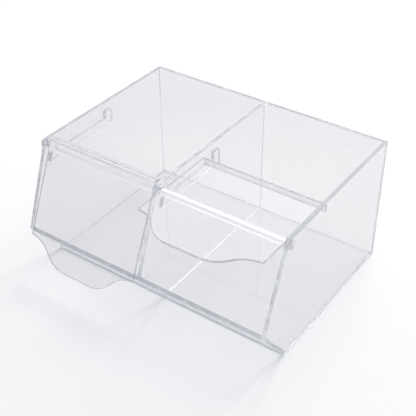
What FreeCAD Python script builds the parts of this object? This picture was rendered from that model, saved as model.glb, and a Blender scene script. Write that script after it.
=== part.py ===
import FreeCAD, Part
import math
import os

# Candy bin of clear acrylic sheet: two compartments side by side, each with a scoop lid.
# A lid is a bent sheet that slides through a slot in a round rod, and the rod turns in the box.
# Lengths are in millimetres and angles in degrees. X is to the right, Y to the back, Z up.
# The origin is the middle of the base's underside.

# The bonded box
width = 300.0
depth = 195.0
height = 150.0
lip_height = 54.0
lip_reach = 41.0
brow_reach = 4.0
sheet = 4.0
edge_ease = 0.4

# The hinge rods
rod_radius = 5.5
pivot_drop = 7.0
pivot_setback = 2.2
journal_radius = 3.0
journal_clearance = 0.05
journal_gap = 0.3
rod_side_gap = 0.3
slot_gap = 0.3
slot_ease = 0.35
cap_radius = 5.2
cap_thickness = 1.5
cap_gap = 0.3
cap_ease = 0.5

# The lids
lid_sheet = 2.5
lid_side_gap = 2.0
lid_length = 110.5
lid_corner_radius = 1.2
lid_ease = 0.35
tab_depth = 26.0
tab_crown = 35.0
bend_radius = 1.5
flange_stop = 6.3
flange_seat_gap = 0.3
lip_gap = 0.3
open_reach = 37.0

# The rails that the flange of an open lid runs on
rail_drop = 17.0
rail_height = 9.5
rail_setback = 9.5
rail_rear_margin = 99.0
stop_width = 11.0
stop_rise = 9.0
stop_gap = 0.3
rail_round = 1.0

# One overrun for every cut
overrun = 5.0

# Places that follow from the sizes above
side_face = width / 2 - sheet
divider_face = sheet / 2
bay_middle = (side_face + divider_face) / 2
half_lid = (side_face - divider_face) / 2 - lid_side_gap
front = -depth / 2
back = depth / 2
back_face = back - sheet
toe = (front, 0)
lip = (front - lip_reach, lip_height)
brow = (front - brow_reach, height)
mouth_slope = (brow[0] - lip[0]) / (brow[1] - lip[1])
pivot_y = brow[0] + pivot_setback
pivot_z = height - pivot_drop
rail_top = height - rail_drop
flange_foot = rail_top + flange_seat_gap
half_lid_sheet = lid_sheet / 2

# A shut lid leans in front of the lip, and this is its slope
lip_run = pivot_y - lip[0]
lip_fall = pivot_z - lip[1]
lip_lean = math.asin((half_lid_sheet + lip_gap) / math.hypot(lip_run, lip_fall))
shut_angle = math.degrees(math.atan2(lip_fall, lip_run) - lip_lean)

# How far in front of the pivot a lid's corners lie, when shut and when open, and its travel
shut_reach = lid_length - lid_sheet - flange_stop
open_slide = shut_reach - open_reach
stop_face = back - rail_rear_margin - stop_width
slide_travel = stop_face - stop_gap - pivot_y - flange_stop - lid_sheet

ACROSS = FreeCAD.Vector(1, 0, 0)
UPWARD = FreeCAD.Vector(0, 0, 1)


def extruded(points, x_low, x_high):
    """A solid with its outline given as (y, z) points, from x_low to x_high."""
    corners = [FreeCAD.Vector(x_low, y, z) for y, z in points]
    outline = Part.makePolygon(corners + corners[:1])
    return Part.Face(outline).extrude(ACROSS * (x_high - x_low))


def cylinder(radius, x_low, x_high):
    """A cylinder on the pivot's axis."""
    start = FreeCAD.Vector(x_low, pivot_y, pivot_z)
    return Part.makeCylinder(radius, x_high - x_low, start, ACROSS)


def same(value, target):
    """Whether two places agree, for picking edges."""
    return math.isclose(value, target, abs_tol=edge_ease / 4)


def rounded(solid, radius, picked):
    """Rounds every edge whose middle is picked."""
    return solid.makeFillet(radius, [edge for edge in solid.Edges if picked(edge.CenterOfMass)])


def eased(solid, width, picked):
    """Takes the sharpness off every edge whose middle is picked."""
    return solid.makeChamfer(width, [edge for edge in solid.Edges if picked(edge.CenterOfMass)])


def crossing(first, second):
    """Where the lines through two pairs of (y, z) points meet."""
    (ay, az), (by, bz) = first
    (cy, cz), (dy, dz) = second
    across = (by - ay) * (dz - cz) - (bz - az) * (dy - cy)
    share = ((cy - ay) * (dz - cz) - (cz - az) * (dy - cy)) / across
    return ay + (by - ay) * share, az + (bz - az) * share


def level(z):
    """Two points of the level line at height z."""
    return (front, z), (back, z)


def panel_back():
    """The inner face of the leaning front panel, from its foot's side to its lip's side."""
    length = math.hypot(lip_reach, lip_height)
    inward = (sheet * lip_height / length, sheet * lip_reach / length)
    return tuple((y + inward[0], z + inward[1]) for y, z in (toe, lip))


def with_journal_hole(solid):
    """The pivot's hole through a sheet."""
    return solid.cut(cylinder(journal_radius + journal_clearance, -width, width))


def make_base():
    """The base lies between the other sheets, bevelled to meet the front panel."""
    under = crossing(panel_back(), level(0))
    over = crossing(panel_back(), level(sheet))
    return extruded([under, (back_face, 0), (back_face, sheet), over], -side_face, side_face)


def make_back():
    """The back spans the whole width and height, with eased outer edges."""
    points = [(back_face, 0), (back, 0), (back, height), (back_face, height)]
    solid = extruded(points, -width / 2, width / 2)
    return eased(solid, edge_ease, lambda middle: (
        same(middle.x, 0) and same(middle.z, height)
        or same(abs(middle.x), width / 2) and same(middle.y, back)
    ))


def make_side():
    """The left side, with eased edges and the pivot's hole."""
    points = [toe, lip, brow, (back_face, height), (back_face, 0)]
    solid = extruded(points, -width / 2, -side_face)
    mouth_middle = (lip_height + height) / 2
    solid = eased(solid, edge_ease, lambda middle: (
        same(middle.x, -width / 2) and not same(middle.y, back_face)
        or same(middle.x, -side_face) and (same(middle.z, height) or same(middle.z, mouth_middle))
    ))
    return with_journal_hole(solid)


def make_divider():
    """The divider stands on the base behind the front panel, flush with the mouth."""
    heel = crossing(panel_back(), level(sheet))
    mouth_foot = crossing(panel_back(), (lip, brow))
    points = [heel, mouth_foot, brow, (back_face, height), (back_face, sheet)]
    solid = extruded(points, -divider_face, divider_face)
    mouth_middle = (mouth_foot[1] + height) / 2
    solid = eased(solid, edge_ease, lambda middle: (
        same(abs(middle.x), divider_face) and (same(middle.z, height) or same(middle.z, mouth_middle))
    ))
    return with_journal_hole(solid)


def make_front_panel():
    """The leaning panel under the mouth: square at its lip, flat where it stands."""
    solid = extruded([toe, lip, panel_back()[1], crossing(panel_back(), level(0))], -side_face, side_face)
    lip_heights = (lip[1], panel_back()[1][1])
    return eased(solid, edge_ease, lambda middle: (
        same(middle.x, 0) and any(same(middle.z, z) for z in lip_heights)
    ))


def make_rail(wall):
    """A rail bonded on the right of a wall, slanted like the mouth, with an upright stop behind."""
    foot = rail_top - rail_height
    tip = brow[0] - (height - foot) * mouth_slope + rail_setback
    stop_back = stop_face + stop_width
    points = [
        (tip, foot),
        (tip + rail_height * mouth_slope, rail_top),
        (stop_face, rail_top),
        (stop_face, rail_top + stop_rise),
        (stop_back, rail_top + stop_rise),
        (stop_back, foot),
    ]
    solid = extruded(points, wall, wall + sheet)
    solid = rounded(solid, rail_round, lambda middle: (
        same(middle.x, wall + sheet / 2)
        and (same(middle.y, stop_face) or same(middle.y, stop_back))
    ))
    return eased(solid, edge_ease, lambda middle: (
        same(middle.x, wall + sheet) and not same(middle.z, foot)
    ))


def placed(solid, side, angle):
    """Puts a right-hand piece on its side (-1 left, 1 right), its front dropped by angle."""
    result = solid if side > 0 else solid.mirror(FreeCAD.Vector(), ACROSS)
    result = result.copy()
    result.rotate(FreeCAD.Vector(0, pivot_y, pivot_z), ACROSS, angle)
    return result


def make_rod():
    """A round rod slotted for the lid, with a journal at each end."""
    low = divider_face + rod_side_gap
    high = side_face - rod_side_gap
    solid = cylinder(rod_radius, low, high)
    half_slot = half_lid_sheet + slot_gap
    slot = extruded(
        [
            (pivot_y - rod_radius - overrun, pivot_z - half_slot),
            (pivot_y + rod_radius + overrun, pivot_z - half_slot),
            (pivot_y + rod_radius + overrun, pivot_z + half_slot),
            (pivot_y - rod_radius - overrun, pivot_z + half_slot),
        ],
        bay_middle - half_lid - slot_gap,
        bay_middle + half_lid + slot_gap,
    )
    solid = solid.cut(slot)
    mouth = math.sqrt(rod_radius ** 2 - half_slot ** 2)
    solid = eased(solid, slot_ease, lambda middle: (
        same(middle.x, bay_middle) and same(abs(middle.y - pivot_y), mouth)
    ))
    inner_journal = cylinder(journal_radius, journal_gap / 2, low)
    outer_journal = cylinder(journal_radius, high, width / 2 + cap_gap)
    return solid.fuse([inner_journal, outer_journal]).removeSplitter()


def make_cap():
    """The cap bonded on the end of the outer journal, which keeps the rod in place."""
    inner = width / 2 + cap_gap
    solid = cylinder(cap_radius, inner, inner + cap_thickness)
    return eased(solid, cap_ease, lambda middle: same(middle.x, inner + cap_thickness))


def scoop_edge(side, corner_y):
    """The two tangent arcs from the tab's crown to one corner of the lid's front edge."""
    crown_end = tab_crown / 2
    run = half_lid - crown_end
    radius = (run ** 2 + tab_depth ** 2) / (4 * tab_depth)
    half_turn = math.asin(run / 2 / radius) / 2
    across = radius * math.sin(half_turn)
    along = radius * (1 - math.cos(half_turn))
    shape = [
        (crown_end, tab_depth),
        (crown_end + across, tab_depth - along),
        (crown_end + run / 2, tab_depth / 2),
        (half_lid - across, along),
        (half_lid, 0),
    ]
    points = [
        FreeCAD.Vector(bay_middle + side * out, corner_y - reach, flange_foot - overrun)
        for out, reach in shape
    ]
    return [Part.Arc(*points[first:first + 3]).toShape() for first in (0, 2)], points


def lid_outline(corner_y, rear):
    """A tall block with the lid's outline from above: straight behind, a scoop tab in front."""
    left_arcs, left = scoop_edge(-1, corner_y)
    right_arcs, right = scoop_edge(1, corner_y)
    behind = FreeCAD.Vector(0, rear + overrun - corner_y, 0)
    edges = [
        Part.makeLine(left[0], right[0]),
        *right_arcs,
        Part.makeLine(right[-1], right[-1] + behind),
        Part.makeLine(right[-1] + behind, left[-1] + behind),
        Part.makeLine(left[-1] + behind, left[-1]),
        *reversed(left_arcs),
    ]
    face = Part.Face(Part.Wire(Part.__sortEdges__(edges)))
    solid = face.extrude(UPWARD * (pivot_z - flange_foot + lid_sheet + 2 * overrun))
    return rounded(solid, lid_corner_radius, lambda middle: (
        same(abs(middle.x - bay_middle), half_lid) and same(middle.y, corner_y)
    ))


def make_lid(slide):
    """A right-hand lid, level: a sheet bent down at its rear, slid back from shut by slide."""
    corner_y = pivot_y - shut_reach + slide
    rear = corner_y + lid_length
    tip = corner_y - tab_depth - overrun
    top = pivot_z + half_lid_sheet
    under = pivot_z - half_lid_sheet
    points = [
        (tip, top),
        (rear, top),
        (rear, flange_foot),
        (rear - lid_sheet, flange_foot),
        (rear - lid_sheet, under),
        (tip, under),
    ]
    solid = extruded(points, bay_middle - half_lid - overrun, bay_middle + half_lid + overrun)
    solid = rounded(solid, bend_radius + lid_sheet, lambda middle: (
        same(middle.y, rear) and same(middle.z, top)
    ))
    solid = rounded(solid, bend_radius, lambda middle: (
        same(middle.y, rear - lid_sheet) and same(middle.z, under)
    ))
    solid = solid.common(lid_outline(corner_y, rear)).Solids[0]
    front_edges = [
        edge for edge in solid.Edges
        if edge.BoundBox.YMax < corner_y + lid_corner_radius + lid_ease
        and edge.BoundBox.ZLength < lid_ease
    ]
    return solid.makeChamfer(lid_ease, front_edges)


def write(name, shape):
    """Writes one piece and prints its size, for a look at what was built."""
    box = shape.BoundBox
    shape.exportStep("parts/" + name + ".step")
    print(
        "%-16s solids %d valid %s volume %7.0f  x %7.2f %7.2f  y %7.2f %7.2f  z %7.2f %7.2f"
        % (name, len(shape.Solids), shape.isValid(), shape.Volume,
           box.XMin, box.XMax, box.YMin, box.YMax, box.ZMin, box.ZMax)
    )


os.makedirs("parts", exist_ok=True)
write("base_plate", make_base())
write("back_panel", make_back())
write("left_side", make_side())
write("right_side", make_side().mirror(FreeCAD.Vector(), ACROSS))
write("divider", make_divider())
write("front_panel", make_front_panel())
write("left_rail", make_rail(-side_face))
write("right_rail", make_rail(divider_face))
for name, side, slide, angle in (("left", -1, 0, shut_angle), ("right", 1, open_slide, 0)):
    write(name + "_hinge_rod", placed(make_rod(), side, angle))
    write(name + "_rod_cap", placed(make_cap(), side, angle))
    write(name + "_lid", placed(make_lid(slide), side, angle))
print("shut angle %.3f, open slide %.3f, slide travel %.3f" % (shut_angle, open_slide, slide_travel))
print("pivot y %.3f z %.3f, stop face %.3f" % (pivot_y, pivot_z, stop_face))
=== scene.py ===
import logging
import math
from dataclasses import dataclass, field
from enum import Enum
from typing import Iterable, Iterator, Sequence

import bpy
import numpy as np
from mathutils import Matrix, Vector


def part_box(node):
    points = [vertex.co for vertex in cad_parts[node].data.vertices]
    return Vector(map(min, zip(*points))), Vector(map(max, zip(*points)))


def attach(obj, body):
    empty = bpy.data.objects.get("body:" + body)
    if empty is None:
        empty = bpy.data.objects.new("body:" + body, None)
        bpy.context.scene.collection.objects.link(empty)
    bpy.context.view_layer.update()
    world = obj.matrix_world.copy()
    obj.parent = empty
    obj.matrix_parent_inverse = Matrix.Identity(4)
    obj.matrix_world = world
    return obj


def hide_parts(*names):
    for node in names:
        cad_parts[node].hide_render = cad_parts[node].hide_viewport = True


# A clear acrylic bin with two compartments. Each has a bent lid with a scoop tab, which slides
# through the slot of a rod that turns in the walls.

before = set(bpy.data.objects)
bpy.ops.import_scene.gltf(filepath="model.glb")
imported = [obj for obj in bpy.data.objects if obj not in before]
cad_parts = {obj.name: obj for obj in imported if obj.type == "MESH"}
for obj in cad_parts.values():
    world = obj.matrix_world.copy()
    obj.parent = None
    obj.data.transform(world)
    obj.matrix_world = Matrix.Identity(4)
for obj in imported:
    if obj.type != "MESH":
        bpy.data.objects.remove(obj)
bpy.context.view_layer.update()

log = logging.getLogger("candy_bin")

MM = 0.001
# A face points along a direction where the cosine of the angle between them is more than this.
FACING = 0.9

Piece = bpy.types.Object
Material = bpy.types.Material
Colour = tuple[float, float, float, float]
Place = tuple[float, float, float]
Line = tuple[np.ndarray, np.ndarray]


class Side(Enum):
    """The two compartments, by the sign of their X."""

    LEFT = -1
    RIGHT = 1

    @property
    def word(self) -> str:
        """The side's name as the pieces and bodies use it."""
        return self.name.lower()


class Skin(Enum):
    """The material slots of a sheet's mesh, in order."""

    FACE = 0
    EDGE = 1
    BEND = 2


def rgba(red: float, green: float, blue: float) -> Colour:
    """An opaque colour."""
    return red, green, blue, 1.0


class Term:
    """An output socket that takes part in written maths."""

    def __init__(self, tree: bpy.types.NodeTree, socket: bpy.types.NodeSocket) -> None:
        """Keeps the socket, and the tree that new Math nodes go into."""
        self.tree = tree
        self.socket = socket

    def _math(self, operation: str, first: object, second: object) -> "Term":
        """Adds one Math node.

        Args:
            operation: the Math node's operation.
            first: the first operand, a Term or a number.
            second: the second operand, a Term or a number.

        Returns:
            The node's result as a Term.
        """
        node = self.tree.nodes.new("ShaderNodeMath")
        node.operation = operation
        feed(self.tree, node.inputs[0], first)
        feed(self.tree, node.inputs[1], second)
        return Term(self.tree, node.outputs[0])

    def __add__(self, other: object) -> "Term":
        """The sum."""
        return self._math("ADD", self, other)

    __radd__ = __add__

    def __sub__(self, other: object) -> "Term":
        """The difference."""
        return self._math("SUBTRACT", self, other)

    def __rsub__(self, other: object) -> "Term":
        """The difference, the other way round."""
        return self._math("SUBTRACT", other, self)

    def __mul__(self, other: object) -> "Term":
        """The product."""
        return self._math("MULTIPLY", self, other)

    __rmul__ = __mul__

    def at_least(self, other: object) -> "Term":
        """The larger of the two."""
        return self._math("MAXIMUM", self, other)


def feed(tree: bpy.types.NodeTree, entry: bpy.types.NodeSocket, value: object) -> None:
    """Links an input to what feeds it, or sets it.

    Args:
        tree: the tree of both nodes.
        entry: the input socket.
        value: a Term, a node, whose first output is meant, a socket, a number or a colour.
    """
    if isinstance(value, Term):
        value = value.socket
    if isinstance(value, bpy.types.Node):
        value = value.outputs[0]
    if isinstance(value, bpy.types.NodeSocket):
        tree.links.new(value, entry)
    else:
        entry.default_value = value


class Nodes:
    """A node tree being written, with one method that adds any node."""

    def __init__(self, tree: bpy.types.NodeTree) -> None:
        """Empties the tree of a material or of the world."""
        self.tree = tree
        tree.nodes.clear()

    def add(
        self, kind: str, settings: dict[str, object] | None = None, **sockets: object
    ) -> bpy.types.Node:
        """Adds a node.

        Args:
            kind: the node's type, without its ShaderNode prefix.
            settings: attributes to set before the sockets, such as an operation.
            sockets: what feeds each input. An input is called by its name, with _ for a space,
                or by i and its number where several inputs have one name.

        Returns:
            The new node.
        """
        node = self.tree.nodes.new("ShaderNode" + kind)
        for name, value in (settings or {}).items():
            setattr(node, name, value)
        for name, value in sockets.items():
            numbered = name[0] == "i" and name[1:].isdigit()
            entry = int(name[1:]) if numbered else name.replace("_", " ")
            feed(self.tree, node.inputs[entry], value)
        return node

    def term(self, node: bpy.types.Node, output: int | str = 0) -> Term:
        """One output of a node, for written maths."""
        return Term(self.tree, node.outputs[output])

    def path(self, name: str) -> Term:
        """One of Light Path's outputs, such as Is Camera Ray."""
        return self.term(self.add("LightPath"), name)

    def noise(self, size: float, detail: float) -> Term:
        """Soft noise in three dimensions, on Object coordinates.

        Args:
            size: the width of its patches in metres.
            detail: how many finer layers it has.

        Returns:
            Its level, which seldom leaves the range from 0.3 to 0.7.
        """
        place = self.add("TexCoord").outputs["Object"]
        noise = self.add(
            "TexNoise", {"noise_dimensions": "3D"}, Vector=place, Scale=1 / size, Detail=detail,
        )
        return self.term(noise)

    def ramp(
        self, value: Term, low: float, high: float, start: float = 0.0, end: float = 1.0
    ) -> Term:
        """A straight ramp that stays level past its two ends.

        Args:
            value: what it follows.
            low: where on value it starts.
            high: where on value it ends.
            start: its own level at low.
            end: its own level at high.

        Returns:
            start + (end - start) * (value - low) / (high - low), held between start and end.
        """
        ramp = self.add(
            "MapRange", Value=value, From_Min=low, From_Max=high, To_Min=start, To_Max=end,
        )
        return self.term(ramp)

    def mix(self, share: Term, first: object, second: object) -> bpy.types.NodeSocket:
        """A colour that goes from first to second as share goes from 0 to 1.

        Args:
            share: the share of the second colour.
            first: a colour or a colour's socket.
            second: a colour or a colour's socket.

        Returns:
            The mixed colour's socket.
        """
        # A Mix node's colour sockets come after its sockets for numbers and vectors.
        return self.add("Mix", {"data_type": "RGBA"}, i0=share, i6=first, i7=second).outputs[2]

    def blend(self, share: Term, first: bpy.types.Node, second: bpy.types.Node) -> bpy.types.Node:
        """A shader that goes from first to second as share goes from 0 to 1."""
        return self.add("MixShader", i0=share, i1=first, i2=second)


def new_material(name: str) -> tuple[Material, Nodes]:
    """An empty material.

    Args:
        name: the material's name.

    Returns:
        The material, and its node tree to be written.
    """
    material = bpy.data.materials.new(name)
    material.use_nodes = True
    return material, Nodes(material.node_tree)


@dataclass(frozen=True)
class ClearAcrylic:
    """Clear acrylic that bends light for the eye and lets lamps through.

    Rays from lamps and from matt surfaces pass it with a faint tint, which stands for the
    light that two faces of a sheet turn away. Every other ray is bent and mirrored, less the
    share that the skin's milk scatters, as the fine scores of a sawn edge do. With a wave
    height the skin is slightly uneven, and with a glint size it has patches of the glint.
    """

    name: str
    tint: Colour = rgba(0.99, 0.988, 0.996)
    lamp_tint: Colour = rgba(0.95, 0.952, 0.962)
    roughness: float = 0.0
    refraction: float = 1.491
    milk: float = 0.0
    wave_height: float = 0.0
    wave_size: float = 90 * MM
    wave_detail: float = 0.0
    glint: Colour = rgba(1.0, 1.0, 1.0)
    glint_size: float = 0.0
    glint_detail: float = 2.0
    glint_from: float = 0.48
    glint_full: float = 0.66
    depth_colour: Colour = rgba(0.60, 0.63, 0.70)
    depth_density: float = 1.0

    def make(self) -> Material:
        """Builds the material.

        Returns:
            The material, with its surface and its faint absorption.
        """
        material, nodes = new_material(self.name)
        skin: dict[str, object] = {"Base_Color": self.tint}
        if self.glint_size:
            patches = nodes.noise(self.glint_size, self.glint_detail)
            share = nodes.ramp(patches, self.glint_from, self.glint_full)
            skin["Base_Color"] = nodes.mix(share, self.tint, self.glint)
        if self.wave_height:
            waves = nodes.noise(self.wave_size, self.wave_detail)
            skin["Normal"] = nodes.add("Bump", Distance=self.wave_height, Height=waves)
        glass = nodes.add(
            "BsdfPrincipled", Roughness=self.roughness, IOR=self.refraction,
            Transmission_Weight=1 - self.milk, **skin,
        )
        passing = nodes.add("BsdfTransparent", Color=self.lamp_tint)
        lamp = nodes.path("Is Shadow Ray").at_least(nodes.path("Is Diffuse Ray"))
        depth = nodes.add("VolumeAbsorption", Color=self.depth_colour, Density=self.depth_density)
        nodes.add("OutputMaterial", Surface=nodes.blend(lamp, glass, passing), Volume=depth)
        return material


@dataclass(frozen=True)
class Cement:
    """A line of dried solvent cement: clear where it wetted both sheets, milky where it didn't."""

    name: str = "cement_line"
    colour: Colour = rgba(0.93, 0.94, 0.95)
    roughness: float = 0.4
    # A painted glow: the film emits a little of its own colour, so that it shows brighter than its
    # lighting makes it.
    glow: float = 0.45
    cover: float = 0.65
    patch_size: float = 6 * MM
    patch_detail: float = 3.0
    wetted_from: float = 0.72
    wetted_full: float = 0.40

    def make(self) -> Material:
        """Builds the material.

        Returns:
            A pale matt skin with clear patches, brightened by a painted glow of its own colour.
        """
        material, nodes = new_material(self.name)
        patches = nodes.noise(self.patch_size, self.patch_detail)
        wetted = nodes.ramp(patches, self.wetted_from, self.wetted_full)
        film = nodes.add(
            "BsdfPrincipled", Base_Color=self.colour, Roughness=self.roughness,
            Alpha=self.cover * (1 - wetted),
            Emission_Color=self.colour, Emission_Strength=self.glow,
        )
        nodes.add("OutputMaterial", Surface=film)
        return material


@dataclass(frozen=True)
class StudioFloor:
    """A pale seamless floor that stays near white for the eye and keeps the shadows.

    Seen through the bin it has a painted shade, a little greyer, and more so away from the bin's
    own shadow;
    mirrored in the bin it has a painted grey too. Far from the bin it glows evenly in the same
    shades, so that it has no horizon.
    """

    name: str = "studio_floor"
    seen: Colour = rgba(1.0, 1.0, 1.0)
    # through_near, through_far and mirrored are painted shade: greys the floor shows only through
    # the bin's sheets or in their gloss.
    through_near: Colour = rgba(0.89, 0.885, 0.885)
    through_far: Colour = rgba(0.78, 0.78, 0.80)
    mirrored: Colour = rgba(0.87, 0.87, 0.88)
    near_radius: float = 0.14
    far_radius: float = 0.34
    lit_radius: float = 0.55
    even_radius: float = 1.1

    def make(self) -> Material:
        """Builds the material.

        Returns:
            A matt white whose shade differs for seen, mirrored and bent rays.
        """
        material, nodes = new_material(self.name)
        place = nodes.add("TexCoord").outputs["Object"]
        length = nodes.add("VectorMath", {"operation": "LENGTH"}, Vector=place)
        radius = nodes.term(length, "Value")
        away = nodes.ramp(radius, self.near_radius, self.far_radius)
        through = nodes.mix(away, self.through_near, self.through_far)
        # A ray that clear sheet has bent counts as glossy too, so its own mix comes last.
        direct = nodes.mix(nodes.path("Is Glossy Ray"), self.seen, self.mirrored)
        shade = nodes.mix(nodes.path("Is Transmission Ray"), direct, through)
        matt = nodes.add("BsdfDiffuse", Color=shade)
        glow = nodes.add("Emission", Color=shade)
        far = nodes.ramp(radius, self.lit_radius, self.even_radius)
        nodes.add("OutputMaterial", Surface=nodes.blend(far, matt, glow))
        return material


@dataclass(frozen=True)
class Surround:
    """The world: white to the eye, and a dim even sky for matt surfaces.

    Mirrored and bent rays meet a grey that grows lighter towards the rear and again overhead.
    """

    name: str = "surround"
    white: Colour = rgba(1.0, 1.0, 1.0)
    sky: Colour = rgba(0.96, 0.98, 1.0)
    sky_strength: float = 0.57
    gloss: Colour = rgba(0.97, 0.97, 1.0)
    front_y: float = -0.2
    rear_y: float = 0.8
    front_strength: float = 0.48
    rear_strength: float = 0.84
    top_from: float = 0.42
    top_full: float = 0.8
    top_strength: float = 0.95

    def make(self) -> bpy.types.World:
        """Builds the world.

        Returns:
            The world, graded by the Y and the Z of the ray's direction.
        """
        world = bpy.data.worlds.new(self.name)
        world.use_nodes = True
        nodes = Nodes(world.node_tree)
        place = nodes.add("TexCoord").outputs["Generated"]
        direction = nodes.add("SeparateXYZ", Vector=place)
        rear = nodes.ramp(
            nodes.term(direction, "Y"), self.front_y, self.rear_y,
            self.front_strength, self.rear_strength,
        )
        above = nodes.ramp(
            nodes.term(direction, "Z"), self.top_from, self.top_full, 0.0, self.top_strength,
        )
        sky = nodes.add("Background", Color=self.sky, Strength=self.sky_strength)
        gloss = nodes.add("Background", Color=self.gloss, Strength=rear + above)
        white = nodes.add("Background", Color=self.white, Strength=1.0)
        bent = nodes.path("Is Glossy Ray").at_least(nodes.path("Is Transmission Ray"))
        lit = nodes.blend(bent, sky, gloss)
        nodes.add("OutputWorld", Surface=nodes.blend(nodes.path("Is Camera Ray"), lit, white))
        return world


def counter_clockwise(points: np.ndarray) -> np.ndarray:
    """A closed outline, turned so that it runs counter-clockwise.

    Args:
        points: N by 2 corners.

    Returns:
        The same corners, reversed if their signed area is negative.
    """
    ahead = np.roll(points, -1, axis=0)
    area = np.sum(points[:, 0] * ahead[:, 1] - ahead[:, 0] * points[:, 1])
    return points if area > 0 else points[::-1]


def arc(
    centre: tuple[float, float], radius: float, start: float, end: float, steps: int
) -> np.ndarray:
    """Points along an arc: the centre plus the radius times (cos a, sin a).

    Args:
        centre: the arc's centre.
        radius: its radius.
        start: the first angle a in degrees.
        end: the last angle a in degrees.
        steps: how many equal steps lie between them.

    Returns:
        steps + 1 by 2 places.
    """
    angle = np.radians(np.linspace(start, end, steps + 1))
    circle = np.column_stack([np.cos(angle), np.sin(angle)])
    return np.asarray(centre) + radius * circle


def rectangle(low: Sequence[float], high: Sequence[float]) -> np.ndarray:
    """The four corners of a rectangle, counter-clockwise from its lowest one."""
    return np.array([low, [high[0], low[1]], high, [low[0], high[1]]])


def new_piece(name: str, points: np.ndarray, faces: Iterable[Sequence[int]]) -> Piece:
    """A mesh object at the origin, with flat faces.

    Args:
        name: the piece's name.
        points: N by 3 places in metres.
        faces: corner numbers of each face, counter-clockwise from outside.

    Returns:
        The object, linked into the scene.
    """
    mesh = bpy.data.meshes.new(name)
    mesh.from_pydata(points.tolist(), [], [list(map(int, face)) for face in faces])
    mesh.update()
    piece = bpy.data.objects.new(name, mesh)
    bpy.context.scene.collection.objects.link(piece)
    return piece


def prism(name: str, profile: np.ndarray, x_low: float, x_high: float) -> Piece:
    """A profile in the YZ plane carried straight along X: point (i, j) is (x_i, profile_j).

    Args:
        name: the piece's name.
        profile: N by 2 places (y, z) in metres.
        x_low: where it starts.
        x_high: where it ends.

    Returns:
        The closed prism.
    """
    ring = counter_clockwise(profile)
    count = len(ring)
    low = np.column_stack([np.full(count, x_low), ring])
    high = np.column_stack([np.full(count, x_high), ring])
    here = np.arange(count)
    ahead = np.roll(here, -1)
    around = np.stack([here, ahead, ahead + count, here + count], axis=1)
    return new_piece(name, np.vstack([low, high]), [here[::-1], here + count, *around])


def lathe(name: str, outline: np.ndarray, axis: Sequence[float], steps: int = 96) -> Piece:
    """An outline of (x, radius) turned about an axis along X, closed by a face at each end.

    Point (i, j) is (x_i, axis_y + radius_i cos t_j, axis_z + radius_i sin t_j), where t_j is
    j equal parts of a full turn.

    Args:
        name: the piece's name.
        outline: N by 2 places, with x rising.
        axis: the axis's (y, z).
        steps: how many faces go round.

    Returns:
        The closed round piece.
    """
    turn = np.linspace(0, 2 * math.pi, steps, endpoint=False)
    x, radius = outline[:, :1], outline[:, 1:]
    y = axis[0] + radius * np.cos(turn)
    z = axis[1] + radius * np.sin(turn)
    points = np.stack([x + 0 * turn, y, z], axis=2).reshape(-1, 3)
    ring = np.arange(steps)
    ahead = np.roll(ring, -1)
    band = np.stack([ring, ahead, ahead + steps, ring + steps], axis=1)
    bands = [band + row * steps for row in range(len(outline) - 1)]
    ends = [ring[::-1], ring + (len(outline) - 1) * steps]
    return new_piece(name, points, [ends[0], *np.vstack(bands), ends[1]])


def settled(piece: Piece) -> Piece:
    """Puts the result of a piece's modifiers into its mesh, with its normals, and drops them.

    Args:
        piece: the piece, with its modifiers.

    Returns:
        The same piece without modifiers.
    """
    graph = bpy.context.evaluated_depsgraph_get()
    mesh = bpy.data.meshes.new_from_object(
        piece.evaluated_get(graph), preserve_all_data_layers=True, depsgraph=graph
    )
    piece.modifiers.clear()
    old = piece.data
    piece.data = mesh
    mesh.name = piece.name
    bpy.data.meshes.remove(old)
    return piece


def cut(piece: Piece, tool: Piece) -> Piece:
    """Cuts a tool's shape out of a piece and removes the tool.

    Args:
        piece: the piece to be cut.
        tool: the shape that is taken away.

    Returns:
        The piece with its opening.
    """
    bore = piece.modifiers.new("bore", "BOOLEAN")
    bore.operation = "DIFFERENCE"
    bore.solver = "EXACT"
    bore.object = tool
    settled(piece)
    bpy.data.objects.remove(tool)
    return piece


def softened(piece: Piece, width: float, segments: int = 3, angle: float = 32.0) -> Piece:
    """Rounds a piece's sharp edges, keeping its flat faces flat.

    Args:
        piece: the piece.
        width: how far the rounding reaches from each edge.
        segments: how many strips it has.
        angle: edges sharper than this, in degrees, are rounded.

    Returns:
        The piece.
    """
    piece.data.polygons.foreach_set("use_smooth", np.full(len(piece.data.polygons), True))
    bevel = piece.modifiers.new("bevel", "BEVEL")
    bevel.width = width
    bevel.segments = segments
    bevel.limit_method = "ANGLE"
    bevel.angle_limit = math.radians(angle)
    bevel.harden_normals = True
    bevel.use_clamp_overlap = True
    bevel.material = Skin.EDGE.value
    return settled(piece)


def face_vectors(piece: Piece, quantity: str) -> np.ndarray:
    """A vector of each face of a piece.

    Args:
        piece: the piece.
        quantity: normal or center.

    Returns:
        N by 3 numbers, one row for each face.
    """
    values = np.zeros(len(piece.data.polygons) * 3)
    piece.data.polygons.foreach_get(quantity, values)
    return values.reshape(-1, 3)


def dress(
    piece: Piece, materials: Iterable[Material], slots: np.ndarray | None = None
) -> None:
    """Gives a piece its materials.

    Args:
        piece: the piece.
        materials: those of Skin, in order.
        slots: the value of each face's Skin, or None where all faces have the first.
    """
    for material in materials:
        piece.data.materials.append(material)
    if slots is not None:
        piece.data.polygons.foreach_set("material_index", slots.astype(np.int32))


def seat(piece: Piece, body: str, slot: str, *nodes: str) -> Piece:
    """Makes a piece ride on a body and stand for its CAD nodes.

    Args:
        piece: the finished piece.
        body: the body that it rides on.
        slot: not used.
        nodes: the CAD nodes that it replaces, if any.

    Returns:
        The piece.
    """
    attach(piece, body)
    if nodes:
        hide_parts(*nodes)
    return piece


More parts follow.
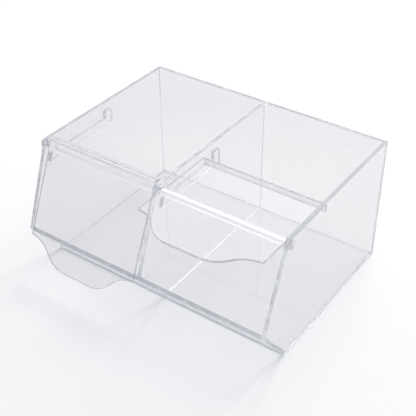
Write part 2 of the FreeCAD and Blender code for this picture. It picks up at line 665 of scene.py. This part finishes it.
@dataclass
class Finishes:
    """The materials of the whole bin, each made once."""

    face: Material = field(default_factory=ClearAcrylic(
        "acrylic_face", wave_height=0.03 * MM).make)
    edge: Material = field(default_factory=ClearAcrylic(
        "acrylic_edge", tint=rgba(0.85, 0.853, 0.875), milk=0.40, glint_size=10 * MM).make)
    bend: Material = field(default_factory=ClearAcrylic(
        "acrylic_bend", tint=rgba(0.95, 0.95, 0.965), milk=0.22, glint_size=16 * MM).make)
    rod: Material = field(default_factory=ClearAcrylic(
        "acrylic_rod", wave_height=0.002 * MM, wave_size=50 * MM).make)
    cap: Material = field(default_factory=ClearAcrylic(
        "acrylic_cap", tint=rgba(0.80, 0.795, 0.79), roughness=0.05, milk=0.42,
        glint_size=5 * MM).make)
    cement: Material = field(default_factory=Cement().make)

    @property
    def sheet(self) -> tuple[Material, Material]:
        """A sheet's two skins, in Skin's order."""
        return self.face, self.edge


@dataclass
class Sizes:
    """Sizes that the sub-assemblies share, in metres.

    The seam is the gap between two bonded sheets, and the film is the cement that stands in it.
    """

    sheet: float = 4 * MM
    lip_height: float = 54 * MM
    lip_reach: float = 41 * MM
    brow_reach: float = 4 * MM
    pivot_drop: float = 7 * MM
    pivot_setback: float = 2.2 * MM
    seam: float = 0.05 * MM
    film: float = 0.02 * MM

    def __post_init__(self) -> None:
        """Reads the box's outer size from the frame and works out its places (y, z)."""
        back_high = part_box("back_panel")[1]
        self.half_width: float = back_high.x
        self.height: float = back_high.z
        self.back: float = back_high.y
        self.front: float = -self.back
        self.back_face: float = self.back - self.sheet
        self.side_face: float = self.half_width - self.sheet
        self.toe = np.array([self.front, 0.0])
        self.lip = np.array([self.front - self.lip_reach, self.lip_height])
        self.brow = np.array([self.front - self.brow_reach, self.height])
        self.pivot = self.brow + np.array([self.pivot_setback, -self.pivot_drop])

    def panel_line(self, inset: float) -> Line:
        """A line along the front panel, parallel to its outer face.

        Args:
            inset: how far behind the outer face it lies.

        Returns:
            Its foot, square to the toe, and its top, square to the lip.
        """
        run = self.lip - self.toe
        inward = np.array([run[1], -run[0]]) / np.linalg.norm(run)
        return self.toe + inward * inset, self.lip + inward * inset

    def span(self, side: Side) -> tuple[float, float]:
        """Where a side sheet starts and ends along X."""
        low, high = sorted((side.value * self.side_face, side.value * self.half_width))
        return low, high


def meet(first: Line, second: Line) -> np.ndarray:
    """Where two lines cross, from the cross products of their runs and of their starts' gap.

    Args:
        first: two points of one line.
        second: two points of the other.

    Returns:
        The place (y, z).
    """
    along, other = first[1] - first[0], second[1] - second[0]
    gap = second[0] - first[0]
    share = (gap[0] * other[1] - gap[1] * other[0]) / (along[0] * other[1] - along[1] * other[0])
    return first[0] + along * share


def level(z: float) -> Line:
    """The level line at height z."""
    return np.array([-1.0, z]), np.array([1.0, z])


@dataclass
class Carcass:
    """The bonded box: base, back, sides, divider, leaning front panel and rails."""

    sizes: Sizes
    finishes: Finishes
    edge_round: float = 0.35 * MM
    bore_radius: float = 3.05 * MM
    rail_drop: float = 17 * MM
    rail_height: float = 9.5 * MM
    rail_setback: float = 9.5 * MM
    rail_rear_margin: float = 99 * MM
    stop_width: float = 11 * MM
    stop_rise: float = 9 * MM
    rail_round: float = 1 * MM
    round_steps: int = 5
    body: str = "bin"
    slot: str = "clear_sheet"

    def bored(self, piece: Piece) -> Piece:
        """Cuts the journal hole through a sheet.

        Args:
            piece: a side sheet or the divider.

        Returns:
            The sheet with its hole.
        """
        box = self.sizes
        reach = box.half_width + box.sheet
        outline = np.array([[-reach, self.bore_radius], [reach, self.bore_radius]])
        return cut(piece, lathe("bore_tool", outline, box.pivot))

    def bonded(self, piece: Piece) -> np.ndarray:
        """Which faces of a sheet meet the back panel, the base's top or a side over a seam.

        Args:
            piece: the sheet.

        Returns:
            True or False for each face.
        """
        box = self.sizes
        normal, centre = face_vectors(piece, "normal").T, face_vectors(piece, "center").T
        near = 2 * box.seam
        to_back = (normal[1] > FACING) & (np.abs(centre[1] - box.back_face) < near)
        to_base = (normal[2] < -FACING) & (np.abs(centre[2] - box.sheet) < near)
        side_gap = np.abs(np.abs(centre[0]) - box.side_face)
        to_side = (np.abs(normal[0]) > FACING) & (side_gap < near)
        return to_back | to_base | to_side

    def finish(self, piece: Piece, flat: Sequence[float], node: str) -> Piece:
        """Dresses, softens and seats one sheet, whose bonded ends are clear as its faces are.

        Args:
            piece: the sheet.
            flat: the direction square to its two faces.
            node: the CAD node that it stands for.

        Returns:
            The finished sheet.
        """
        facing = np.abs(face_vectors(piece, "normal") @ np.array(flat, float)) > FACING
        clear = facing | self.bonded(piece)
        dress(piece, self.finishes.sheet, np.where(clear, Skin.FACE.value, Skin.EDGE.value))
        softened(piece, self.edge_round)
        return seat(piece, self.body, self.slot, node)

    def make_base(self) -> Piece:
        """The base, bevelled in front to meet the leaning panel.

        Returns:
            The finished sheet.
        """
        box = self.sizes
        inner = box.panel_line(box.sheet + box.seam)
        rear = box.back_face - box.seam
        profile = np.array([
            meet(inner, level(0)), [rear, 0], [rear, box.sheet], meet(inner, level(box.sheet)),
        ])
        x = box.side_face - box.seam
        return self.finish(prism("base_sheet", profile, -x, x), (0, 0, 1), "base_plate")

    def make_back(self) -> Piece:
        """The back, full width and height.

        Returns:
            The finished sheet.
        """
        box = self.sizes
        profile = rectangle((box.back_face, 0), (box.back, box.height))
        piece = prism("back_sheet", profile, -box.half_width, box.half_width)
        return self.finish(piece, (0, 1, 0), "back_panel")

    def make_side(self, side: Side) -> Piece:
        """A side sheet with its journal hole.

        Args:
            side: the compartment that it closes.

        Returns:
            The finished sheet.
        """
        box = self.sizes
        rear = box.back_face - box.seam
        profile = np.array([box.toe, [rear, 0], [rear, box.height], box.brow, box.lip])
        piece = self.bored(prism(side.word + "_side_sheet", profile, *box.span(side)))
        return self.finish(piece, (1, 0, 0), side.word + "_side")

    def make_divider(self) -> Piece:
        """The divider on the base, behind the front panel.

        Returns:
            The finished sheet.
        """
        box = self.sizes
        inner = box.panel_line(box.sheet + box.seam)
        floor = box.sheet + box.seam
        rear = box.back_face - box.seam
        profile = np.array([
            meet(inner, level(floor)), [rear, floor], [rear, box.height],
            box.brow, meet(inner, (box.lip, box.brow)),
        ])
        piece = self.bored(prism("divider_sheet", profile, -box.sheet / 2, box.sheet / 2))
        return self.finish(piece, (1, 0, 0), "divider")

    def make_front_panel(self) -> Piece:
        """The leaning panel under the mouth.

        Returns:
            The finished sheet.
        """
        box = self.sizes
        inner = box.panel_line(box.sheet)
        x = box.side_face - box.seam
        profile = np.array([box.toe, meet(inner, level(0)), inner[1], box.lip])
        square = (inner[1] - box.lip) / box.sheet
        return self.finish(prism("front_sheet", profile, -x, x), (0, *square), "front_panel")

    def make_rail(self, side: Side) -> Piece:
        """A rail on the left wall of a compartment, with its upright stop.

        Args:
            side: the compartment.

        Returns:
            The finished rail.
        """
        box = self.sizes
        wall = (-box.side_face if side is Side.LEFT else box.sheet / 2) + box.seam
        top = box.height - self.rail_drop
        foot = top - self.rail_height
        mouth = box.brow - box.lip
        slope = mouth[0] / mouth[1]
        tip = box.brow[0] - (box.height - foot) * slope + self.rail_setback
        rear = box.back - self.rail_rear_margin
        stop = rear - self.stop_width
        crest = top + self.stop_rise
        radius, steps = self.rail_round, self.round_steps
        profile = np.vstack([
            [[tip, foot], [rear - radius, foot]],
            arc((rear - radius, foot + radius), radius, -90, 0, steps)[1:],
            arc((rear - radius, crest - radius), radius, 0, 90, steps),
            arc((stop + radius, crest - radius), radius, 90, 180, steps),
            arc((stop - radius, top + radius), radius, 0, -90, steps),
            [[tip + self.rail_height * slope, top]],
        ])
        piece = prism(side.word + "_rail_strip", profile, wall, wall + box.sheet)
        return self.finish(piece, (1, 0, 0), side.word + "_rail")

    def bond(self, name: str, profile: np.ndarray, x_low: float, x_high: float) -> Piece:
        """A film of cement in a seam, as a thin prism along X.

        Args:
            name: the seam's name.
            profile: the film's four corners (y, z).
            x_low: where it starts.
            x_high: where it ends.

        Returns:
            The film.
        """
        film = prism(name + "_bond", profile, x_low, x_high)
        dress(film, [self.finishes.cement])
        return seat(film, self.body, self.slot)

    def make_bonds(self) -> Iterator[Piece]:
        """The films of cement: behind the three upright sheets and under the divider.

        Returns:
            The films, one after the other.
        """
        box = self.sizes
        near, far = (box.seam - box.film) / 2, (box.seam + box.film) / 2
        rear, front = box.back_face - near, box.back_face - far
        half = box.sheet / 2
        uprights = [("divider", (-half, half), box.sheet)]
        uprights += [(side.word + "_side", box.span(side), 0.0) for side in Side]
        for name, (x_low, x_high), foot in uprights:
            profile = rectangle((front, foot), (rear, box.height))
            yield self.bond(name + "_back", profile, x_low + box.film, x_high - box.film)
        heel = meet(box.panel_line(box.sheet + box.seam), level(box.sheet))[0]
        profile = rectangle((heel, box.sheet + near), (rear, box.sheet + far))
        yield self.bond("divider_base", profile, -half, half)

    def make(self) -> Iterator[Piece]:
        """Builds the cement lines and every sheet of the box.

        Returns:
            The finished pieces, one after the other.
        """
        yield from self.make_bonds()
        yield self.make_base()
        yield self.make_back()
        yield self.make_divider()
        yield self.make_front_panel()
        for side in Side:
            yield self.make_side(side)
            yield self.make_rail(side)


@dataclass
class ScoopLid:
    """One compartment's moving set: slotted rod, cap and bent lid with a scoop tab."""

    sizes: Sizes
    finishes: Finishes
    side: Side
    rod_radius: float = 5.5 * MM
    journal_radius: float = 3 * MM
    journal_gap: float = 0.3 * MM
    rod_side_gap: float = 0.3 * MM
    slot_gap: float = 0.3 * MM
    cap_radius: float = 5.2 * MM
    cap_thickness: float = 1.5 * MM
    cap_gap: float = 0.3 * MM
    cap_wall_share: float = 0.55
    dome_reach_share: float = 0.92
    dome_steps: int = 8
    lid_sheet: float = 2.5 * MM
    lid_side_gap: float = 2 * MM
    lid_length: float = 110.5 * MM
    tab_depth: float = 26 * MM
    tab_crown: float = 35 * MM
    scoop_steps: int = 40
    plate_steps: int = 2
    bend_inside: float = 1.5 * MM
    bend_steps: int = 14
    flange_stop: float = 6.3 * MM
    flange_drop: float = 9.7 * MM
    open_reach: float = 37 * MM
    lip_gap: float = 0.3 * MM
    rod_round: float = 0.2 * MM
    cap_round: float = 0.1 * MM
    cap_round_segments: int = 2
    lid_round: float = 0.8 * MM
    lid_round_angle: float = 45.0
    corner_round: float = 1.2 * MM

    def __post_init__(self) -> None:
        """Works out where the lid stands: the left one shut, the right one level and open."""
        box = self.sizes
        self.middle: float = (box.side_face + box.sheet / 2) / 2
        self.half_lid: float = (box.side_face - box.sheet / 2) / 2 - self.lid_side_gap
        if self.side is Side.LEFT:
            run, fall = box.pivot - box.lip
            lean = math.asin((self.lid_sheet / 2 + self.lip_gap) / math.hypot(run, fall))
            self.angle: float = math.atan2(fall, run) - lean
            self.reach: float = self.lid_length - self.lid_sheet - self.flange_stop
        else:
            self.angle = 0.0
            self.reach = self.open_reach

    def placed(self, piece: Piece) -> Piece:
        """Puts a level right-hand piece where its own side has it.

        Args:
            piece: the piece, built for the right compartment with its lid level.

        Returns:
            The piece, turned about the pivot, and mirrored for the left compartment.
        """
        pivot = Vector((0, *self.sizes.pivot))
        turn = Matrix.Rotation(self.angle, 4, "X")
        piece.data.transform(Matrix.Translation(pivot) @ turn @ Matrix.Translation(-pivot))
        if self.side is Side.LEFT:
            piece.data.transform(Matrix.Scale(-1, 4, (1, 0, 0)))
            piece.data.flip_normals()
        return piece

    def make_rod(self) -> Piece:
        """The rod: a lathe shape with its journals, less the lid's slot.

        Returns:
            The finished rod.
        """
        box = self.sizes
        low, high = box.sheet / 2 + self.rod_side_gap, box.side_face - self.rod_side_gap
        outer_end = box.half_width + self.cap_gap - box.seam
        outline = np.array([
            [self.journal_gap / 2, self.journal_radius], [low, self.journal_radius],
            [low, self.rod_radius], [high, self.rod_radius],
            [high, self.journal_radius], [outer_end, self.journal_radius],
        ])
        rod = lathe(self.side.word + "_rod_bar", outline, box.pivot)
        opening = np.array([self.rod_radius * 2, self.lid_sheet / 2 + self.slot_gap])
        slot = rectangle(box.pivot - opening, box.pivot + opening)
        reach = self.half_lid + self.slot_gap
        cut(rod, prism("slot_tool", slot, self.middle - reach, self.middle + reach))
        # The faces and the rounded edges have one finish.
        dress(rod, (self.finishes.rod, self.finishes.rod))
        softened(rod, self.rod_round)
        word = self.side.word
        return seat(self.placed(rod), word + "_rod", "clear_rod", word + "_hinge_rod")

    def make_cap(self) -> Piece:
        """The cap on the outer journal: a straight wall, then a low dome.

        At t from 0 to 1 over the dome, the height is w + (1 - w) sin(90 t degrees) of the cap's
        thickness, with w the wall's share, and the radius is sqrt(1 - (d t)^3) of the cap's,
        with d the dome's reach.

        Returns:
            The finished cap.
        """
        box = self.sizes
        start = box.half_width + self.cap_gap
        wall = self.cap_wall_share
        t = np.linspace(0, 1, self.dome_steps + 1)[1:]
        height = np.concatenate([[0, wall], wall + (1 - wall) * np.sin(t * math.pi / 2)])
        radius = np.concatenate([[1, 1], np.sqrt(1 - (self.dome_reach_share * t) ** 3)])
        outline = np.column_stack([start + self.cap_thickness * height, self.cap_radius * radius])
        cap = lathe(self.side.word + "_cap_button", outline, box.pivot)
        # The faces and the rounded edges have one finish.
        dress(cap, (self.finishes.cap, self.finishes.cap))
        softened(cap, self.cap_round, self.cap_round_segments)
        word = self.side.word
        return seat(self.placed(cap), word + "_rod", "clear_rod", word + "_rod_cap")

    def scoop(self, across: np.ndarray) -> np.ndarray:
        """How far the front edge reaches past the lid's corners.

        Flat over the crown, then two equal tangent arcs: near the crown the reach is the tab's
        depth less r - sqrt(r^2 - d^2), and near the corner it is r - sqrt(r^2 - d^2), with d the
        distance from that end and r = (run^2 + depth^2) / (4 depth).

        Args:
            across: distances from the lid's middle.

        Returns:
            The reach at each distance.
        """
        run = self.half_lid - self.tab_crown / 2
        r = (run ** 2 + self.tab_depth ** 2) / (4 * self.tab_depth)
        out = np.clip(np.abs(across) - self.tab_crown / 2, 0, run)
        near_crown = self.tab_depth - (r - np.sqrt(r ** 2 - np.minimum(out, run / 2) ** 2))
        near_corner = r - np.sqrt(r ** 2 - np.minimum(run - out, run / 2) ** 2)
        return np.where(out < run / 2, near_crown, near_corner)

    def front_edge(self, across: np.ndarray) -> np.ndarray:
        """The Y of the front edge: the corner's rounding less the scoop's reach.

        The rounding is c - sqrt(c^2 - e^2), with c its radius and e how far the place lies
        past the point where the rounding starts.

        Args:
            across: distances from the lid's middle.

        Returns:
            The Y at each distance, counted from the lid's corners.
        """
        c = self.corner_round
        e = np.maximum(np.abs(across) - (self.half_lid - c), 0)
        return c - np.sqrt(np.maximum(c ** 2 - e ** 2, 0)) - self.scoop(across)

    def bent_line(self) -> tuple[np.ndarray, np.ndarray]:
        """The line in the middle of the sheet, from the front back and down the flange.

        It is level along the plate. Round the bend, at the angle a from 0 to 90 degrees, it is
        at (plate's end + b sin a, b cos a - b), with b the radius of the bend's middle. From
        there it goes straight down. Its normal is (sin a, cos a).

        Returns:
            N by 2 places (y, z), and as many normals.
        """
        bend = self.bend_inside + self.lid_sheet / 2
        plate_end = self.lid_length - self.lid_sheet / 2 - bend
        quarter = np.linspace(0, math.pi / 2, self.bend_steps + 1)
        a = np.concatenate([np.zeros(self.plate_steps), quarter, [math.pi / 2]])
        line = np.column_stack([plate_end + bend * np.sin(a), bend * (np.cos(a) - 1)])
        line[:self.plate_steps, 0] = np.linspace(0, plate_end, self.plate_steps, endpoint=False)
        line[-1, 1] = -self.flange_drop
        return line, np.column_stack([np.sin(a), np.cos(a)])

    def make_lid(self) -> Piece:
        """The lid: a grid of bent lines side by side, thickened and closed by a rim.

        Point (i, j) of the middle surface is (across_i, line_j), with the front edge at j = 0.
        The two faces lie half the sheet's thickness to each side of it along the normal.

        Returns:
            The finished lid.
        """
        box = self.sizes
        wing = np.linspace(self.tab_crown / 2, self.half_lid, self.scoop_steps + 1)
        across = np.concatenate([-wing[::-1], wing])
        line, normal = self.bent_line()
        rows, columns = len(across), len(line)
        y = np.tile(line[:, 0], (rows, 1))
        y[:, 0] = self.front_edge(across)
        y += box.pivot[0] - self.reach
        x = np.repeat(across[:, None] + self.middle, columns, axis=1)
        z = np.tile(box.pivot[1] + line[:, 1], (rows, 1))
        surface = np.stack([x, y, z], axis=2)
        thick = np.column_stack([np.zeros(columns), normal]) * self.lid_sheet / 2
        points = np.vstack([(surface + thick).reshape(-1, 3), (surface - thick).reshape(-1, 3)])
        index = np.arange(rows * columns).reshape(rows, columns)
        corners = [index[:-1, :-1], index[1:, :-1], index[1:, 1:], index[:-1, 1:]]
        top = np.stack(corners, axis=2).reshape(-1, 4)
        under = top[:, ::-1] + rows * columns
        border = np.concatenate([index[0], index[1:, -1], index[-1, -2::-1], index[-2:0:-1, 0]])
        ahead = np.roll(border, -1)
        rim = np.stack([ahead + rows * columns, border + rows * columns, border, ahead], axis=1)
        lid = new_piece(self.side.word + "_lid_sheet", points, [*top, *under, *rim])
        on_plate = np.arange(columns - 1) < self.plate_steps
        strip = np.where(on_plate, Skin.FACE.value, Skin.BEND.value)
        both_faces = np.tile(strip, 2 * (rows - 1))
        slots = np.concatenate([both_faces, np.full(len(rim), Skin.EDGE.value)])
        dress(lid, (*self.finishes.sheet, self.finishes.bend), slots)
        softened(lid, self.lid_round, angle=self.lid_round_angle)
        word = self.side.word
        return seat(self.placed(lid), word + "_lid", "clear_lid", word + "_lid")

    def make(self) -> Iterator[Piece]:
        """Builds the rod, its cap and the lid.

        Returns:
            The finished pieces, one after the other.
        """
        yield self.make_rod()
        yield self.make_cap()
        yield self.make_lid()


@dataclass(frozen=True)
class Lamp:
    """One soft rectangular lamp, which neither gloss nor clear sheet shows."""

    name: str
    place: Place
    aim: Place
    size: tuple[float, float]
    watts: float
    colour: tuple[float, float, float]

    def make(self) -> None:
        """Puts the lamp in the scene, turned from its place towards its aim."""
        data = bpy.data.lights.new(self.name, "AREA")
        data.shape = "RECTANGLE"
        data.size, data.size_y = self.size
        data.energy = self.watts
        data.color = self.colour
        lamp = bpy.data.objects.new(self.name, data)
        lamp.location = self.place
        away = Vector(self.place) - Vector(self.aim)
        lamp.rotation_mode = "QUATERNION"
        lamp.rotation_quaternion = away.to_track_quat("Z", "Y")
        lamp.visible_glossy = False
        lamp.visible_transmission = False
        bpy.context.scene.collection.objects.link(lamp)


@dataclass(frozen=True)
class PhotoCamera:
    """The camera at the photograph's place, with angles in degrees and the frame in pixels."""

    name: str = "photo_camera"
    place: Place = (0.4332, -0.6270, 0.6246)
    azimuth: float = 35.32
    elevation: float = 36.53
    roll: float = -0.40
    frame_pixels: float = 416.0
    focal_pixels: float = 856.2
    sensor: float = 36.0
    nearest: float = 0.01
    farthest: float = 50.0

    def make(self) -> None:
        """Puts the camera in the scene, with its axes worked out from the two angles."""
        azimuth, elevation = math.radians(self.azimuth), math.radians(self.elevation)
        back = Vector((
            math.sin(azimuth) * math.cos(elevation),
            -math.cos(azimuth) * math.cos(elevation),
            math.sin(elevation),
        ))
        right = Vector((math.cos(azimuth), math.sin(azimuth), 0.0))
        axes = Matrix((right, back.cross(right), back)).transposed()
        turn = axes @ Matrix.Rotation(math.radians(self.roll), 3, "Z")
        data = bpy.data.cameras.new(self.name)
        data.sensor_width = self.sensor
        data.lens = self.focal_pixels / self.frame_pixels * self.sensor
        data.clip_start = self.nearest
        data.clip_end = self.farthest
        camera = bpy.data.objects.new(self.name, data)
        camera.matrix_world = Matrix.Translation(Vector(self.place)) @ turn.to_4x4()
        bpy.context.scene.collection.objects.link(camera)
        bpy.context.scene.camera = camera


@dataclass
class Studio:
    """The floor, the lamps, the surround and the camera, which aren't part of the bin."""

    floor_half: float = 4.0
    floor_drop: float = 0.25 * MM
    lamps: tuple[Lamp, ...] = (
        Lamp(
            "key", place=(0.15, 1.5, 1.9), aim=(0, 0.2, 0), size=(1.5, 1.1),
            watts=34.0, colour=(1.0, 0.985, 0.965),
        ),
        Lamp(
            "fill", place=(-1.1, -0.7, 0.9), aim=(0, 0, 0.05), size=(0.5, 1.0),
            watts=2.0, colour=(0.92, 0.96, 1.0),
        ),
    )
    bounces: int = 128

    def make_floor(self) -> None:
        """A wide pale floor just under the bin."""
        half = self.floor_half
        outline = rectangle((-half, -half), (half, half))
        points = np.column_stack([outline, np.full(len(outline), -self.floor_drop)])
        floor = new_piece("studio_floor", points, [[0, 1, 2, 3]])
        dress(floor, [StudioFloor().make()])

    def follow_light(self) -> None:
        """Sets how colours are shown and how often light is followed through the sheets."""
        scene = bpy.context.scene
        scene.view_settings.view_transform = "Standard"
        scene.cycles.max_bounces = self.bounces
        scene.cycles.transmission_bounces = self.bounces
        scene.cycles.glossy_bounces = self.bounces
        scene.cycles.transparent_max_bounces = self.bounces
        scene.cycles.caustics_refractive = False
        scene.cycles.caustics_reflective = False

    def make(self) -> None:
        """Builds the whole set."""
        self.make_floor()
        bpy.context.scene.world = Surround().make()
        for lamp in self.lamps:
            lamp.make()
        PhotoCamera().make()
        self.follow_light()


def main() -> None:
    """Builds the bin, reports each piece and sets the studio up."""
    logging.basicConfig(level=logging.INFO, format="%(name)s: %(message)s")
    sizes = Sizes()
    finishes = Finishes()
    assemblies: list[Carcass | ScoopLid] = [Carcass(sizes, finishes)]
    assemblies += [ScoopLid(sizes, finishes, side) for side in Side]
    for assembly in assemblies:
        for piece in assembly.make():
            log.info("%s: %d faces", piece.name, len(piece.data.polygons))
    Studio().make()


if __name__ == "__main__":
    main()
